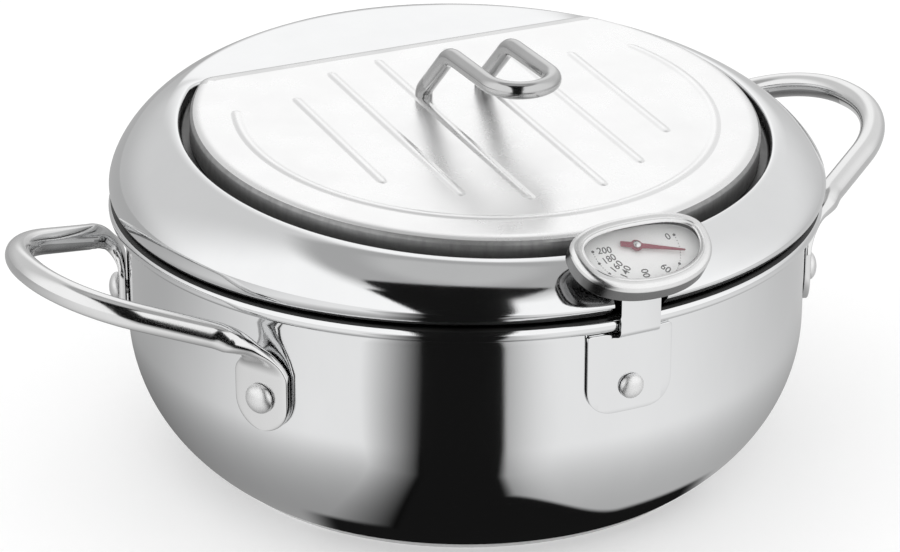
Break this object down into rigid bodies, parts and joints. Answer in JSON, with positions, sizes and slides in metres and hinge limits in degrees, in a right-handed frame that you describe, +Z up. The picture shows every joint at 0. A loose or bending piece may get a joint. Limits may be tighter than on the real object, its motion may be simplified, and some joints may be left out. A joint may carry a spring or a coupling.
{
  "type": "tempura pot",
  "caption": "Round deep-frying pot with side handles, a sloped splash collar, a ribbed draining lid with a wire handle and a probe thermometer on the rim.",
  "frame": {"origin": "centre of the underside of the base, on the surface the pot stands on", "axes": "+Z up, -Y towards the thermometer at the front, +X and -X towards the two side handles, whose shared line is turned 4.2 degrees about +Z from X"},
  "size_m": [0.3394, 0.2639, 0.1533],
  "materials": {
    "polished_steel": "mirror polished",
    "base_steel": "satin",
    "polished_wire": "polished",
    "polished_rod": "polished",
    "rivet_steel": "polished",
    "case_steel": "satin",
    "probe_steel": "satin",
    "clear_lens": "clear",
    "white_enamel": "matt white",
    "red_paint": "satin red",
    "bearing_brass": "turned",
    "bimetal_strip": "rolled"
  },
  "bodies": {
    "pot": {"pot_body": "polished_steel", "base_plate": "base_steel", "handle_left": "polished_rod", "handle_right": "polished_rod", "handle_rivet_left_front": "rivet_steel", "handle_rivet_left_rear": "rivet_steel", "handle_rivet_right_rear": "rivet_steel", "handle_rivet_right_front": "rivet_steel", "thermometer_bracket": "polished_steel", "bracket_rivet": "rivet_steel"},
    "collar": {"splash_collar": "polished_steel"},
    "lid": {"lid": "polished_steel", "lid_handle": "polished_wire"},
    "thermometer": {"thermometer_case": "case_steel", "bezel_ring": "case_steel", "dial_lens": "clear_lens", "dial_plate": "white_enamel", "arbor_bearing": "bearing_brass", "probe_bush": "case_steel", "probe_tube": "probe_steel", "probe_plug": "probe_steel", "bimetal_coil": "bimetal_strip"},
    "pointer": {"pointer": "red_paint", "pointer_hub": "case_steel", "pointer_arbor": "case_steel"}
  },
  "joints": [
    {"name": "collar_lift", "type": "slide", "parent": "pot", "child": "collar", "axis": [0, 0, 1], "range_m": [0, 0.07]},
    {"name": "thermometer_pull", "type": "slide", "parent": "pot", "child": "thermometer", "axis": [0, -0.5592, 0.829], "range_m": [0, 0.125]},
    {"name": "lid_lift", "type": "slide", "parent": "collar", "child": "lid", "axis": [0, -0.0819, 0.9966], "range_m": [0, 0.06]},
    {"name": "pointer_turn", "type": "hinge", "parent": "thermometer", "child": "pointer", "pos_m": [0, -0.1217, 0.1179], "axis": [0, 0.5592, -0.829], "range_deg": [-25, 167]}
  ],
  "couplings": [
    {"joint": "thermometer_pull", "follows": "collar_lift", "ratio": 1.78}
  ]
}
